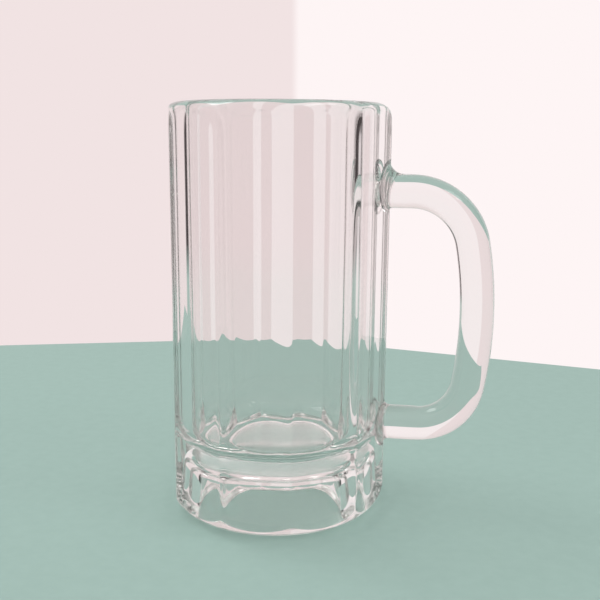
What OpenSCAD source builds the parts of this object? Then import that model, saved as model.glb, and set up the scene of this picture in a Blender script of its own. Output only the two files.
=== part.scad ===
// Paneled glass beer mug: a pressed, ten-sided vessel with a round cavity and a hollow foot,
// and a D-shaped glass handle sealed to it over one panel edge.
// Millimetres. The mug stands on z = 0, its axis is Z, and the handle points along +X.

/* [Body] */
// Height from the resting plane to the top of the rim
mug_height = 148; // [136:1:165]
// Outside diameter at the rim, over the panel edges
rim_diameter = 82.2; // [76:0.2:90]
// How much smaller the body's radius is at the foot than at the rim
body_taper = 1.4; // [0.2:0.1:2.4]

/* [Panels] */
// Number of flat panels around the body
panel_count = 10; // [8:1:12]
// Width of the rounded land left between two panels
edge_land = 1.2; // [0.6:0.1:2]

/* [Rim and cavity] */
// Wall thickness at the rim, over the panel edges
rim_wall = 7.1; // [6.9:0.1:8.5]
// Rounding of the rim's outer edge
rim_outer_round = 5.6; // [3:0.1:5.8]
// Rounding of the rim's inner edge
rim_inner_round = 1.3; // [0.6:0.1:1.5]
// How much smaller the cavity's radius is at its floor than at the rim
cavity_taper = 1.2; // [0.2:0.1:2.5]
// Height of the cavity's floor above the resting plane
floor_height = 24.5; // [22:0.5:32]
// Rounding between the cavity's wall and its floor
floor_round = 10; // [5:0.5:15]

/* [Foot] */
// Rounding of the heel
heel_round = 9; // [5:0.5:11]
// Width of the flat ring that the mug stands on
foot_ring = 2; // [1:0.1:3]
// Rounding of the recess's mouth
mouth_round = 1; // [0.4:0.1:2]
// How much the recess narrows towards its ceiling
recess_draft = 2.5; // [0.5:0.1:4]
// Rounding between the recess's wall and its ceiling
recess_round = 5; // [2:0.5:8]
// Glass between the cavity's floor and the recess's flat ceiling
floor_thickness = 4.9; // [4:0.1:9]

/* [Handle] */
// Diameter of the handle's bar
bar_diameter = 12.2; // [10:0.2:15]
// Free width for the fingers between the body and the handle
finger_gap = 25.8; // [20:0.2:34]
// Distance from the rim down to the axis of the upper arm
upper_arm_drop = 31; // [24:0.5:40]
// Height of the lower arm's axis above the resting plane
lower_arm_height = 32.4; // [26:0.2:40]
// Radius of the upper bend, on the bar's axis
upper_bend = 22; // [16:0.5:24]
// Radius of the lower bend, on the bar's axis
lower_bend = 18; // [14:0.5:22]
// Radius of the bowed outer side, on the bar's axis
side_bow = 140; // [90:5:300]
// Fillet around the upper seal
upper_seal_fillet = 5.2; // [3:0.2:6]
// How far the upper seal sits above the arm's axis
upper_seal_lift = 1.4; // [0.4:0.1:2.4]
// Fillet around the lower seal
lower_seal_fillet = 2.8; // [1.5:0.1:4.5]

/* [Hidden] */
$fn = 96;

// Outside of the body
rim_r = rim_diameter / 2;
base_r = rim_r - body_taper;
lean = atan(body_taper / mug_height);
rim_side_z = mug_height - rim_outer_round;
rim_top_r = base_r + rim_side_z * tan(lean) - rim_outer_round / cos(lean);
heel_r = base_r + heel_round * tan(lean) - heel_round / cos(lean);
// The straight wall lies a hair inside the roundings above and below it, which it runs into
wall_step = 0.01;
heel_reach = heel_round - wall_step;
rim_reach = rim_outer_round - wall_step;

// Panels
panel_angle = 360 / panel_count;
flat_half_angle = panel_angle / 2 - edge_land / (2 * rim_r) * 180 / PI;
flat_r = rim_r * cos(flat_half_angle);
flat_base_r = base_r * cos(flat_half_angle);
flat_lean = atan((flat_r - flat_base_r) / mug_height);

// Cavity
mouth_in_r = rim_r - rim_wall;
rim_in_z = mug_height - rim_inner_round;
floor_side_r = mouth_in_r - cavity_taper;
cavity_lean = atan(cavity_taper / (rim_in_z - floor_height));
floor_r = floor_side_r + floor_round * tan(cavity_lean) - floor_round / cos(cavity_lean);

// Recess under the foot
mouth_r = heel_r - foot_ring - mouth_round;
ceiling_z = floor_height - floor_thickness;
recess_lean = atan(recess_draft / (ceiling_z - mouth_round));
recess_side_z = ceiling_z - recess_round;
ceiling_r = mouth_r - (recess_side_z - mouth_round) * tan(recess_lean) - recess_round / cos(recess_lean);

// Axis of the handle's bar, in the plane y = 0
bar_r = bar_diameter / 2;
upper_z = mug_height - upper_arm_drop;
lower_z = lower_arm_height;
belly_z = (upper_z + lower_z) / 2;
belly_wall_r = base_r + belly_z * tan(lean);
bow_x = belly_wall_r + finger_gap + bar_r - side_bow;
upper_bend_z = upper_z - upper_bend;
lower_bend_z = lower_z + lower_bend;
upper_bend_x = bow_x + sqrt(pow(side_bow - upper_bend, 2) - pow(upper_bend_z - belly_z, 2));
lower_bend_x = bow_x + sqrt(pow(side_bow - lower_bend, 2) - pow(lower_bend_z - belly_z, 2));
upper_angle = atan2(upper_bend_z - belly_z, upper_bend_x - bow_x);
lower_angle = atan2(lower_bend_z - belly_z, lower_bend_x - bow_x);
arm_start = mouth_in_r;
// The side is a hair thinner than the bends and laps into them, and so does each seal into its arm
joint_step = 0.03;
joint_lap = 0.15;
side_diameter = bar_diameter - 2 * joint_step;
lap_angle = joint_lap / side_bow * 180 / PI;
upper_wall_r = base_r + upper_z * tan(lean);
lower_wall_r = base_r + lower_z * tan(lean);

// Rounded outline that the panels are cut into
module outer_profile() {
  polygon([
    [0, 0],
    [heel_r, 0],
    [heel_r + heel_reach * cos(lean), heel_round - heel_reach * sin(lean)],
    [rim_top_r + rim_reach * cos(lean), rim_side_z - rim_reach * sin(lean)],
    [rim_top_r, mug_height],
    [0, mug_height]
  ]);
  translate([heel_r, heel_round])
    circle(r = heel_round);
  translate([rim_top_r, rim_side_z])
    circle(r = rim_outer_round);
}

// One panel: a leaning flat from the heel up into the rim's rounding
module panel_cut() {
  translate([flat_base_r, 0, 0])
    rotate([0, flat_lean, 0])
      translate([0, -rim_r / 2, -heel_round])
        cube([heel_round * 2, rim_r, mug_height + heel_round * 2]);
}

// The body's outside, filled, which also shapes the ends of the handle
module paneled_block() {
  difference() {
    rotate_extrude()
      outer_profile();
    for (k = [0 : panel_count - 1])
      rotate([0, 0, (k + 0.5) * panel_angle])
        panel_cut();
  }
}

// Drinking space, opened with a round edge at the rim
module cavity_profile() {
  polygon([
    [0, floor_height],
    [floor_r, floor_height],
    [floor_r + floor_round * cos(cavity_lean), floor_height + floor_round * (1 - sin(cavity_lean))],
    [mouth_in_r, rim_in_z],
    [mouth_in_r, mug_height + 1],
    [0, mug_height + 1]
  ]);
  translate([floor_r, floor_height + floor_round])
    circle(r = floor_round);
  difference() {
    translate([mouth_in_r, rim_in_z])
      square([rim_inner_round, rim_inner_round + 1]);
    translate([mouth_in_r + rim_inner_round, rim_in_z])
      circle(r = rim_inner_round);
  }
}

// Hollow under the foot, with a rounded mouth and a flat ceiling
module recess_profile() {
  polygon([
    [0, -1],
    [mouth_r, -1],
    [mouth_r, mouth_round],
    [ceiling_r + recess_round * cos(recess_lean), recess_side_z + recess_round * sin(recess_lean)],
    [ceiling_r, ceiling_z],
    [0, ceiling_z]
  ]);
  translate([ceiling_r, recess_side_z])
    circle(r = recess_round);
  difference() {
    translate([mouth_r, -1])
      square([mouth_round, mouth_round + 1]);
    translate([mouth_r + mouth_round, mouth_round])
      circle(r = mouth_round);
  }
}

module mug_body() {
  color("lightcyan")
    difference() {
      paneled_block();
      rotate_extrude()
        cavity_profile();
      rotate_extrude()
        recess_profile();
    }
}

// Round bar bent about (x, z), from one angle to another
module bend(x, z, radius, from, to, thickness) {
  translate([x, 0, z])
    rotate([90, 0, 0])
      rotate([0, 0, from])
        rotate_extrude(angle = to - from)
          translate([radius, 0])
            circle(d = thickness);
}

// Straight arm along X, starting inside the body
module arm(end_x, z) {
  translate([arm_start, 0, z])
    rotate([0, 90, 0])
      cylinder(d = bar_diameter, h = end_x - arm_start);
}

// Seal where an arm meets the wall: a flare that runs tangent into the bar
module seal(wall_r, z, lift, fillet) {
  neck = bar_r - lift - joint_lap;
  translate([wall_r, 0, z + lift])
    rotate([0, 90, 0])
      rotate_extrude()
        difference() {
          translate([0, arm_start - wall_r])
            square([neck + fillet, fillet + wall_r - arm_start]);
          translate([neck + fillet, fillet])
            circle(r = fillet);
        }
}

module handle() {
  color("azure")
    difference() {
      union() {
        arm(upper_bend_x, upper_z);
        bend(upper_bend_x, upper_bend_z, upper_bend, upper_angle, 90, bar_diameter);
        bend(bow_x, belly_z, side_bow, lower_angle - lap_angle, upper_angle + lap_angle, side_diameter);
        bend(lower_bend_x, lower_bend_z, lower_bend, -90, lower_angle, bar_diameter);
        arm(lower_bend_x, lower_z);
        seal(upper_wall_r, upper_z, upper_seal_lift, upper_seal_fillet);
        seal(lower_wall_r, lower_z, 0, lower_seal_fillet);
      }
      paneled_block();
    }
}

mug_body();
handle();
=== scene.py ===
import math
import bmesh
import bpy
from mathutils import Matrix, Vector


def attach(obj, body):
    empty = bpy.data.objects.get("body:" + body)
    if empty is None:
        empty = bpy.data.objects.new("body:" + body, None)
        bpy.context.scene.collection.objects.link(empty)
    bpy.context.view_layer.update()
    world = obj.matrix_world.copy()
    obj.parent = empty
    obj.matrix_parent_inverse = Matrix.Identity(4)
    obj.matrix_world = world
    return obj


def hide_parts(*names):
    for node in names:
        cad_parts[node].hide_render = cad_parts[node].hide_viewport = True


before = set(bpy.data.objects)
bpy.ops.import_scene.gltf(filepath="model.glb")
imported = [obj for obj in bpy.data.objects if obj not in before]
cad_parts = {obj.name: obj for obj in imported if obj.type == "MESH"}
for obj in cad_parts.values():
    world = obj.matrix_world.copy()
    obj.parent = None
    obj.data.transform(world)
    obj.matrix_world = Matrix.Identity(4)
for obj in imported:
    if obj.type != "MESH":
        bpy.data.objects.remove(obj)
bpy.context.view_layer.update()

# Mug body: a thick ten-sided vessel with a round cavity and a hollow ring foot.
# Clear soda-lime glass, pressed between a paneled mould and a plain plunger, then
# fire-polished, which rounds the rim and softens every edge of the mould.
MM = 0.001
mug_height = 148 * MM
rim_r = 41.1 * MM
base_r = 39.7 * MM
wall_lean = (rim_r - base_r) / mug_height

# Rim, cavity and floor
rim_outer_round = 5.6 * MM
rim_inner_round = 1.3 * MM
rim_wall = 7.1 * MM
cavity_taper = 1.2 * MM
floor_height = 24.5 * MM
floor_round = 10 * MM
cavity_r = rim_r - rim_wall
cavity_lean = cavity_taper / (mug_height - rim_inner_round - floor_height)

# Heel, foot ring and the recess inside it
heel_round = 9 * MM
foot_ring = 2 * MM
mouth_round = 1 * MM
recess_draft = 2.5 * MM
recess_round = 5 * MM
floor_thickness = 4.9 * MM
ceiling_z = floor_height - floor_thickness
heel_r = base_r - heel_round * (math.hypot(1, wall_lean) - wall_lean)
mouth_r = heel_r - foot_ring - mouth_round
recess_lean = recess_draft / (ceiling_z - mouth_round)

# Corners of the half section, from the middle of the recess's ceiling out over the foot,
# the heel and the rim to the middle of the floor: radius, height, rounding, steps
half_section = [
    (0, ceiling_z, 0, 0),
    (mouth_r - recess_draft, ceiling_z, recess_round, 16),
    (mouth_r + mouth_round * recess_lean, 0, mouth_round, 8),
    (base_r, 0, heel_round, 24),
    (rim_r, mug_height, rim_outer_round, 24),
    (cavity_r + rim_inner_round * cavity_lean, mug_height, rim_inner_round, 10),
    (cavity_r - cavity_taper, floor_height, floor_round, 30),
    (0, floor_height, 0, 0),
]
vessel = bmesh.new()
corners = [vessel.verts.new((radius, 0, height)) for radius, height, _, _ in half_section]
for here, there in zip(corners, corners[1:]):
    vessel.edges.new((here, there))
for corner, (_, _, rounding, steps) in zip(corners, half_section):
    if rounding:
        one, other = [edge.other_vert(corner).co - corner.co for edge in corner.link_edges]
        half_turn = (math.pi - one.angle(other)) / 2
        bmesh.ops.bevel(
            vessel, geom=[corner], offset=rounding * math.tan(half_turn), offset_type="ABSOLUTE",
            segments=steps, profile=0.5, affect="VERTICES", material=-1,
        )

# Rows across the long straight stretches, where the roundings have steps enough
row_spacing = 3 * MM
for edge in list(vessel.edges):
    cuts = int(edge.calc_length() / row_spacing)
    if cuts:
        bmesh.ops.subdivide_edges(vessel, edges=[edge], cuts=cuts)

panel_count = 10
panel_columns = 24
merge_gap = 0.002 * MM
bmesh.ops.spin(
    vessel, geom=vessel.verts[:] + vessel.edges[:], cent=(0, 0, 0), axis=(0, 0, 1),
    angle=math.tau, steps=panel_columns * panel_count, use_merge=True,
)
bmesh.ops.remove_doubles(vessel, verts=vessel.verts[:], dist=merge_gap)

# Panels: a narrow land is left between two flats
panel_angle = math.tau / panel_count
edge_land = 1.2 * MM
flat_share = math.cos(panel_angle / 2 - edge_land / (2 * rim_r))
edge_ease = 0.3 * MM
rim_ease = 1.2 * MM
rim_ease_from = mug_height - 10 * MM
rim_ease_rise = 8 * MM


# Radius of the body over its panel edges
def wall_r(z):
    return base_r + z * wall_lean


# Distance from the axis to the flat of a panel
def panel_reach(z):
    return wall_r(z) * flat_share


# Fire-polishing eases the edges of a panel, most of all where it runs into the rim
def polish(z):
    return edge_ease + rim_ease * min(1, max(0, (z - rim_ease_from) / rim_ease_rise))


# The smaller of two sizes, with the corner between them eased
def eased_least(one, other, ease):
    near = max(0.0, 1 - abs(one - other) / ease)
    return min(one, other) - near * near * ease / 4


# Pressing: each point outside a panel's flat goes back to it, and the columns of the
# mesh draw together at the edges between panels
column_pull = 0.82 / panel_count
for vert in vessel.verts:
    turn = math.atan2(vert.co.y, vert.co.x)
    turn -= column_pull * math.sin(turn * panel_count)
    off_middle = turn % panel_angle - panel_angle / 2
    flat = panel_reach(vert.co.z) / math.cos(off_middle)
    reach = eased_least(math.hypot(vert.co.x, vert.co.y), flat, polish(vert.co.z))
    vert.co.x = reach * math.cos(turn)
    vert.co.y = reach * math.sin(turn)
bmesh.ops.recalc_face_normals(vessel, faces=vessel.faces[:])


# sRGB hex to the linear colour that a shader takes
def colour(hex_code):
    parts = [int(hex_code[at:at + 2], 16) / 255 for at in (1, 3, 5)]
    return [p / 12.92 if p <= 0.04045 else ((p + 0.055) / 1.055) ** 2.4 for p in parts] + [1.0]


# Adds a node with its settings, its socket values and its links. A node that is given
# as a value is linked by its first output.
def add(tree, kind, sockets=(), **settings):
    made = tree.nodes.new("ShaderNode" + kind)
    for name, value in settings.items():
        setattr(made, name, value)
    for name, value in dict(sockets).items():
        if isinstance(value, bpy.types.Node):
            value = value.outputs[0]
        if isinstance(value, bpy.types.NodeSocket):
            tree.links.new(value, made.inputs[name])
        else:
            made.inputs[name].default_value = value
    return made


# Pressed soda-lime glass: clear, with a very faint blush that varies as the melt does, and the
# sea-green cast of its iron in thick places. Chilling in the mould leaves a shallow waviness,
# longer upwards, washing leaves a haze that softens the gleam in patches, and the recess's
# ceiling keeps a satin skin from the mould, which shows as a pale patch through the floor.
melt_patch = 25 * MM
chill_wave = 7 * MM
chill_depth = 0.03 * MM
haze_patch = 14 * MM
haze_roughness = 0.012
satin_roughness = 0.25
satin_top = ceiling_z + 0.9 * MM
satin_top_fade = 1 * MM
satin_r = 20 * MM
satin_r_fade = 1.5 * MM

pressed_glass = bpy.data.materials.new("soda_lime_glass_pressed")
pressed_glass.use_nodes = True
tree = pressed_glass.node_tree
tree.nodes.clear()
place = add(tree, "TexCoord").outputs["Object"]
drawn = add(tree, "Mapping", {"Vector": place, "Scale": (1, 1, 0.2)})
chill = add(tree, "TexNoise", {
    "Vector": drawn, "Scale": 1 / chill_wave, "Detail": 1.0, "Roughness": 0.4,
})
ripple = add(tree, "Bump", {"Height": chill, "Strength": 1.0, "Distance": chill_depth})
haze = add(tree, "TexNoise", {"Vector": place, "Scale": 1 / haze_patch, "Detail": 3.0})
gleam = add(tree, "MapRange", {
    "Value": haze, "From Min": 0.4, "From Max": 0.7, "To Min": 0.0, "To Max": haze_roughness,
})
melt = add(tree, "TexNoise", {"Vector": place, "Scale": 1 / melt_patch, "Detail": 2.0})
clear = add(tree, "MixRGB", {
    "Fac": melt, "Color1": colour("#FCFAFA"), "Color2": colour("#FAF8F8"),
})
height = add(tree, "SeparateXYZ", {0: place}).outputs["Z"]
level = add(tree, "VectorMath", {0: place, 1: (1, 1, 0)}, operation="MULTIPLY")
radius = add(tree, "VectorMath", {0: level}, operation="LENGTH").outputs["Value"]
under = add(tree, "MapRange", {
    "Value": height, "From Min": satin_top, "From Max": satin_top + satin_top_fade,
    "To Min": 1.0, "To Max": 0.0,
})
plate = add(tree, "MapRange", {
    "Value": radius, "From Min": satin_r, "From Max": satin_r + satin_r_fade,
    "To Min": satin_roughness, "To Max": 0.0,
})
satin = add(tree, "Math", {0: under, 1: plate}, operation="MULTIPLY")
finish = add(tree, "Math", {0: gleam, 1: satin}, operation="MAXIMUM")
glass = add(tree, "BsdfPrincipled", {
    "Base Color": clear, "Roughness": finish, "IOR": 1.52, "Transmission Weight": 1.0, "Normal": ripple,
})
cast = add(tree, "VolumeAbsorption", {"Color": colour("#D8E8E0"), "Density": 3.0})
add(tree, "OutputMaterial", {"Surface": glass, "Volume": cast})


# Makes a smooth-shaded object of a finished mesh, standing for a node of the frame
def glass_piece(name, shape, node):
    mesh = bpy.data.meshes.new(name)
    shape.to_mesh(mesh)
    shape.free()
    mesh.shade_smooth()
    mesh.materials.append(pressed_glass)
    piece = bpy.data.objects.new(name, mesh)
    bpy.context.scene.collection.objects.link(piece)
    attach(piece, "root")
    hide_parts(node)


glass_piece("mug_body_glass", vessel, "mug_body")

# Handle: a round glass bar bent to a D, with its two ends flared where they are sealed
# to the body over a panel edge. The same glass, drawn and stuck on while hot, so each end
# runs a little way into the wall and the two pieces are optically one.
bar_r = 6.065 * MM
upper_z = mug_height - 31 * MM
lower_z = 32.4 * MM
belly_z = (upper_z + lower_z) / 2
wall_to_axis = 31.9 * MM
seal_depth = 0.4 * MM

# Centres of the bowed side and of the two bends that run into it, and where they meet
bow_r = 140 * MM
upper_bend_r = 22 * MM
lower_bend_r = 18 * MM
bow_x = wall_r(belly_z) + wall_to_axis - bow_r
upper_bend_z = upper_z - upper_bend_r
lower_bend_z = lower_z + lower_bend_r
upper_bend_x = bow_x + math.sqrt((bow_r - upper_bend_r) ** 2 - (upper_bend_z - belly_z) ** 2)
lower_bend_x = bow_x + math.sqrt((bow_r - lower_bend_r) ** 2 - (lower_bend_z - belly_z) ** 2)
upper_angle = math.atan2(upper_bend_z - belly_z, upper_bend_x - bow_x)
lower_angle = math.atan2(lower_bend_z - belly_z, lower_bend_x - bow_x)

bar = bmesh.new()
lying = Matrix.Translation((upper_bend_x, 0, upper_z)) @ Matrix.Rotation(math.pi / 2, 4, "Y")
bmesh.ops.create_circle(bar, segments=72, radius=bar_r, matrix=lying)
upper_ring = bar.verts[:] + bar.edges[:]
lower_ring = upper_ring
for x, z, angle, steps in (
    (upper_bend_x, upper_bend_z, math.pi / 2 - upper_angle, 44),
    (bow_x, belly_z, upper_angle - lower_angle, 24),
    (lower_bend_x, lower_bend_z, lower_angle + math.pi / 2, 38),
):
    lower_ring = bmesh.ops.spin(
        bar, geom=lower_ring, cent=(x, 0, z), axis=(0, 1, 0), angle=angle, steps=steps,
    )["geom_last"]


# Where the paneled wall lies beside the handle, at a height and a distance from its middle
def wall_x(y, z):
    turn = panel_angle / 2
    flat = (panel_reach(z) - abs(y) * math.sin(turn)) / math.cos(turn)
    return eased_least(flat, math.sqrt(wall_r(z) ** 2 - y * y), edge_ease)


# Draws an arm from the end of a bend to the wall and closes it with shrinking rings
def draw_arm(ring, bend_x, axis_z):
    arm_rows = 20
    cap_rings = 6
    length = bend_x - wall_x(0, axis_z)
    ring = bmesh.ops.spin(
        bar, geom=ring, dvec=(-length / arm_rows, 0, 0), angle=0, steps=arm_rows,
    )["geom_last"]
    for rings_left in range(cap_rings, 0, -1):
        edges = [part for part in ring if isinstance(part, bmesh.types.BMEdge)]
        grown = bmesh.ops.extrude_edge_only(bar, edges=edges)["geom"]
        inner = {part for part in grown if isinstance(part, bmesh.types.BMVert)}
        shrink = 1 - 1 / rings_left
        bmesh.ops.scale(
            bar, verts=list(inner), vec=(1, shrink, shrink), space=Matrix.Translation((0, 0, -axis_z)),
        )
        ring = [part for part in grown if part not in inner and inner.issuperset(part.verts)]


# Flares an arm into its seal: its rows crowd towards the wall, where a fillet rolls out onto
# the glass, about a middle that lies the given lift above the arm's axis
def flare_arm(bend_x, axis_z, lift, fillet):
    hair = 0.001 * MM
    neck_ease = 0.5 * MM
    length = bend_x - wall_x(0, axis_z)
    neck = bar_r - lift
    for vert in bar.verts:
        if vert.co.x < bend_x - hair and abs(vert.co.z - axis_z) < 2 * bar_r:
            along = max(0.0, 1 - (bend_x - vert.co.x) / length) ** 2
            y, z = vert.co.y, vert.co.z - axis_z
            reach = math.hypot(y, z)
            if reach > hair:
                inside = max(0.0, fillet - along * length)
                flare = neck + fillet - math.sqrt(fillet**2 - inside**2)
                up = z / reach
                sideways = lift * math.sqrt(max(0.0, 1 - up * up))
                pad = lift * up + math.sqrt(max(0.0, flare**2 - sideways**2))
                share = -eased_least(-bar_r, -pad, neck_ease) / bar_r
                y, z = y * share, z * share
            foot = wall_x(y, z + axis_z) - seal_depth
            vert.co = (foot + (bend_x - foot) * along, y, z + axis_z)


upper_seal_lift = 1.4 * MM
upper_seal_fillet = 5.2 * MM
lower_seal_fillet = 2.8 * MM
draw_arm(lower_ring, lower_bend_x, lower_z)
flare_arm(lower_bend_x, lower_z, 0, lower_seal_fillet)
draw_arm(upper_ring, upper_bend_x, upper_z)
flare_arm(upper_bend_x, upper_z, upper_seal_lift, upper_seal_fillet)
bmesh.ops.remove_doubles(bar, verts=bar.verts[:], dist=merge_gap)
bmesh.ops.recalc_face_normals(bar, faces=bar.faces[:])
glass_piece("handle_glass", bar, "handle")

# Floor: a plain pale sea-green sheet, with one corner a quarter of a metre behind the mug.
# Matt card, which takes a soft shadow and gives the lower glass its colour. It lies a hair
# under the foot, so that no two faces share a plane.
handle_turn = math.radians(11)
aim_turn = math.radians(1.463)
view_turn = handle_turn - aim_turn
sheet_half = 350 * MM
sheet_front = -500 * MM
sheet_left_end = 220 * MM
sheet_corner = 267 * MM
sheet_right_end = 121 * MM
sheet_drop = 0.02 * MM

slab = bmesh.new()
sheet_place = Matrix.Translation((0, 0, -sheet_drop)) @ Matrix.Rotation(view_turn, 4, "Z")
outline = (
    (-sheet_half, sheet_front),
    (sheet_half, sheet_front),
    (sheet_half, sheet_right_end),
    (0, sheet_corner),
    (-sheet_half, sheet_left_end),
)
slab.faces.new([slab.verts.new(sheet_place @ Vector((x, y, 0))) for x, y in outline])
floor_mesh = bpy.data.meshes.new("floor")
slab.to_mesh(floor_mesh)
slab.free()
floor = bpy.data.objects.new("floor", floor_mesh)
bpy.context.scene.collection.objects.link(floor)

# Painted matt card: dull, with the faint mottle of a brushed coat, about 5 mm from patch to patch
paint_patch = 5 * MM
matt_card = bpy.data.materials.new("card_matt_painted")
matt_card.use_nodes = True
tree = matt_card.node_tree
tree.nodes.clear()
place = add(tree, "TexCoord").outputs["Object"]
mottle = add(tree, "TexNoise", {"Vector": place, "Scale": 1 / paint_patch, "Detail": 4.0})
paint = add(tree, "MixRGB", {
    "Fac": mottle, "Color1": colour("#98B1A9"), "Color2": colour("#A0B9B1"),
})
card = add(tree, "BsdfPrincipled", {"Base Color": paint, "Roughness": 0.8, "Specular IOR Level": 0.2})
add(tree, "OutputMaterial", {"Surface": card})
floor_mesh.materials.append(matt_card)

# Studio: a pale blush surround behind the mug and a greyer one elsewhere, with a dark flag
# at each side that only the glass sees, where it draws the edges. One wide soft lamp hangs
# above on the left, and a weaker one on the right.
world = bpy.data.worlds.new("studio")
bpy.context.scene.world = world
world.use_nodes = True
tree = world.node_tree
tree.nodes.clear()
direction = add(tree, "TexCoord").outputs["Generated"]
ahead = (-math.sin(view_turn), math.cos(view_turn), 0)
rightward = (math.cos(view_turn), math.sin(view_turn), 0)
facing = add(tree, "VectorMath", {0: direction, 1: ahead}, operation="DOT_PRODUCT").outputs["Value"]
across = add(tree, "VectorMath", {0: direction, 1: rightward}, operation="DOT_PRODUCT").outputs["Value"]
upward = add(tree, "SeparateXYZ", {0: direction}).outputs["Z"]

# How far a direction lies in each part of the surround, from none at the first limit to all
# at the second
share = {}
for part, amount, none_at, all_at, fade in (
    ("behind", facing, 0.38, 0.46, "SMOOTHSTEP"),
    ("right_half", across, -0.012, -0.001, "SMOOTHSTEP"),
    ("overhead", upward, 0.35, 0.75, "SMOOTHSTEP"),
    ("below", upward, -0.13, -0.17, "LINEAR"),
    ("flag", facing, 0.12, 0.22, "SMOOTHSTEP"),
):
    limits = {"Value": amount, "From Min": none_at, "From Max": all_at}
    share[part] = add(tree, "MapRange", limits, interpolation_type=fade)
rays = add(tree, "LightPath").outputs
in_glass = add(tree, "Math", {0: 1.0, 1: rays["Is Camera Ray"]}, operation="SUBTRACT")
share["flag"] = add(tree, "Math", {0: share["flag"], 1: in_glass}, operation="MULTIPLY")

# The parts lie one over another: flags, ground, the blush halves behind the mug, overhead
blush = add(tree, "MixRGB", {
    "Fac": share["right_half"], "Color1": colour("#F1E3E3"), "Color2": colour("#FEF5F5"),
})
surround = colour("#C2B6B6")
for part, over in (
    ("flag", colour("#1A1414")),
    ("below", colour("#A8BEB6")),
    ("behind", blush),
    ("overhead", colour("#F3E6E5")),
):
    surround = add(tree, "MixRGB", {"Fac": share[part], "Color1": surround, "Color2": over})
seen = add(tree, "Background", {"Color": surround, "Strength": 1.0})
soft = add(tree, "Background", {"Color": colour("#FFFFFF"), "Strength": 0.95})

# The eye and the glass see the surround, and what is matt is lit by an even white
clear_rays = rays["Is Camera Ray"]
for kind in ("Is Glossy Ray", "Is Transmission Ray"):
    clear_rays = add(tree, "Math", {0: clear_rays, 1: rays[kind]}, operation="MAXIMUM")
direct = add(tree, "Math", {0: rays["Diffuse Depth"], 1: 0.5}, operation="LESS_THAN")
clear_rays = add(tree, "Math", {0: clear_rays, 1: direct}, operation="MULTIPLY")
shown = add(tree, "MixShader", {0: clear_rays, 1: soft, 2: seen})
add(tree, "OutputWorld", {"Surface": shown})

lamp_aim = Vector((0, 0, 0.07))
for name, spot, size, power in (
    ("key_lamp", (-0.45, 0.1, 0.85), 0.3, 1.3),
    ("fill_lamp", (0.55, -0.2, 0.75), 0.25, 0.5),
):
    lamp_data = bpy.data.lights.new(name, "AREA")
    lamp_data.size = size
    lamp_data.energy = power
    lamp = bpy.data.objects.new(name, lamp_data)
    lamp.location = spot
    lamp.rotation_euler = (lamp_aim - lamp.location).to_track_quat("-Z", "Y").to_euler()
    bpy.context.scene.collection.objects.link(lamp)

# Camera: at the photograph's viewing angle, near the height of the rim and looking a little
# down, with the handle to the right and turned eleven degrees towards the viewer.
eye_distance = 321.7 * MM
eye_height = 136.2 * MM
view_tilt = math.radians(7.337)
view_roll = math.radians(0.292)
camera_data = bpy.data.cameras.new("camera")
camera_data.lens = 53.09
camera_data.sensor_width = 36
camera_data.shift_y = -0.0833
camera = bpy.data.objects.new("camera", camera_data)
eye = Matrix.Rotation(handle_turn, 3, "Z") @ Vector((0, -eye_distance, eye_height))
camera.matrix_world = (
    Matrix.Translation(eye)
    @ Matrix.Rotation(view_turn, 4, "Z")
    @ Matrix.Rotation(math.pi / 2 - view_tilt, 4, "X")
    @ Matrix.Rotation(view_roll, 4, "Z")
)
bpy.context.scene.collection.objects.link(camera)
bpy.context.scene.camera = camera
bpy.context.scene.view_settings.view_transform = "Standard"

# Light passes many faces of thick glass, and a blurred gloss would darken the floor under it
bpy.context.scene.cycles.max_bounces = 32
bpy.context.scene.cycles.transmission_bounces = 24
bpy.context.scene.cycles.glossy_bounces = 16
bpy.context.scene.cycles.blur_glossy = 0.0
